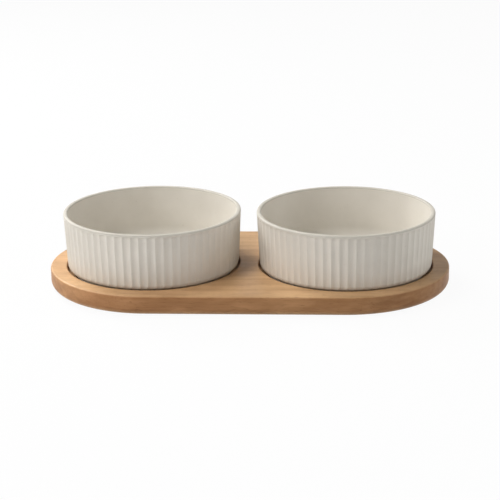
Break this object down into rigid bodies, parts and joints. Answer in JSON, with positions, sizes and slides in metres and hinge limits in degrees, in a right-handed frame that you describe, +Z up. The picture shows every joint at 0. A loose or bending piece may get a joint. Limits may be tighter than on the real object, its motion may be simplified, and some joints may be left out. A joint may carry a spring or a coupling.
{
  "type": "double pet bowl",
  "caption": "Wooden board with half-round ends whose round seats hold fluted ceramic feeding bowls side by side; each bowl lifts out, and the board stands on rubber feet.",
  "frame": {"origin": "middle of the footprint, on the surface that the rubber feet stand on", "axes": "+X to the right along the board, +Y to the back, +Z up; the picture looks from the front, about 3 degrees to the right of -Y and 18 degrees above level"},
  "size_m": [0.3384, 0.1778, 0.0651],
  "materials": {
    "wood": "oiled, satin",
    "glaze": "satin glaze",
    "rubber": "matte"
  },
  "bodies": {
    "board": {"board": "wood", "foot_front_left": "rubber", "foot_front_middle": "rubber", "foot_front_right": "rubber", "foot_back_left": "rubber", "foot_back_middle": "rubber", "foot_back_right": "rubber"},
    "bowl_left": {"bowl_left": "glaze"},
    "bowl_right": {"bowl_right": "glaze"}
  },
  "joints": [
    {"name": "bowl_left_lift", "type": "slide", "parent": "board", "child": "bowl_left", "axis": [0, 0, 1], "range_m": [0, 0.1]},
    {"name": "bowl_right_lift", "type": "slide", "parent": "board", "child": "bowl_right", "axis": [0, 0, 1], "range_m": [0, 0.1]}
  ]
}
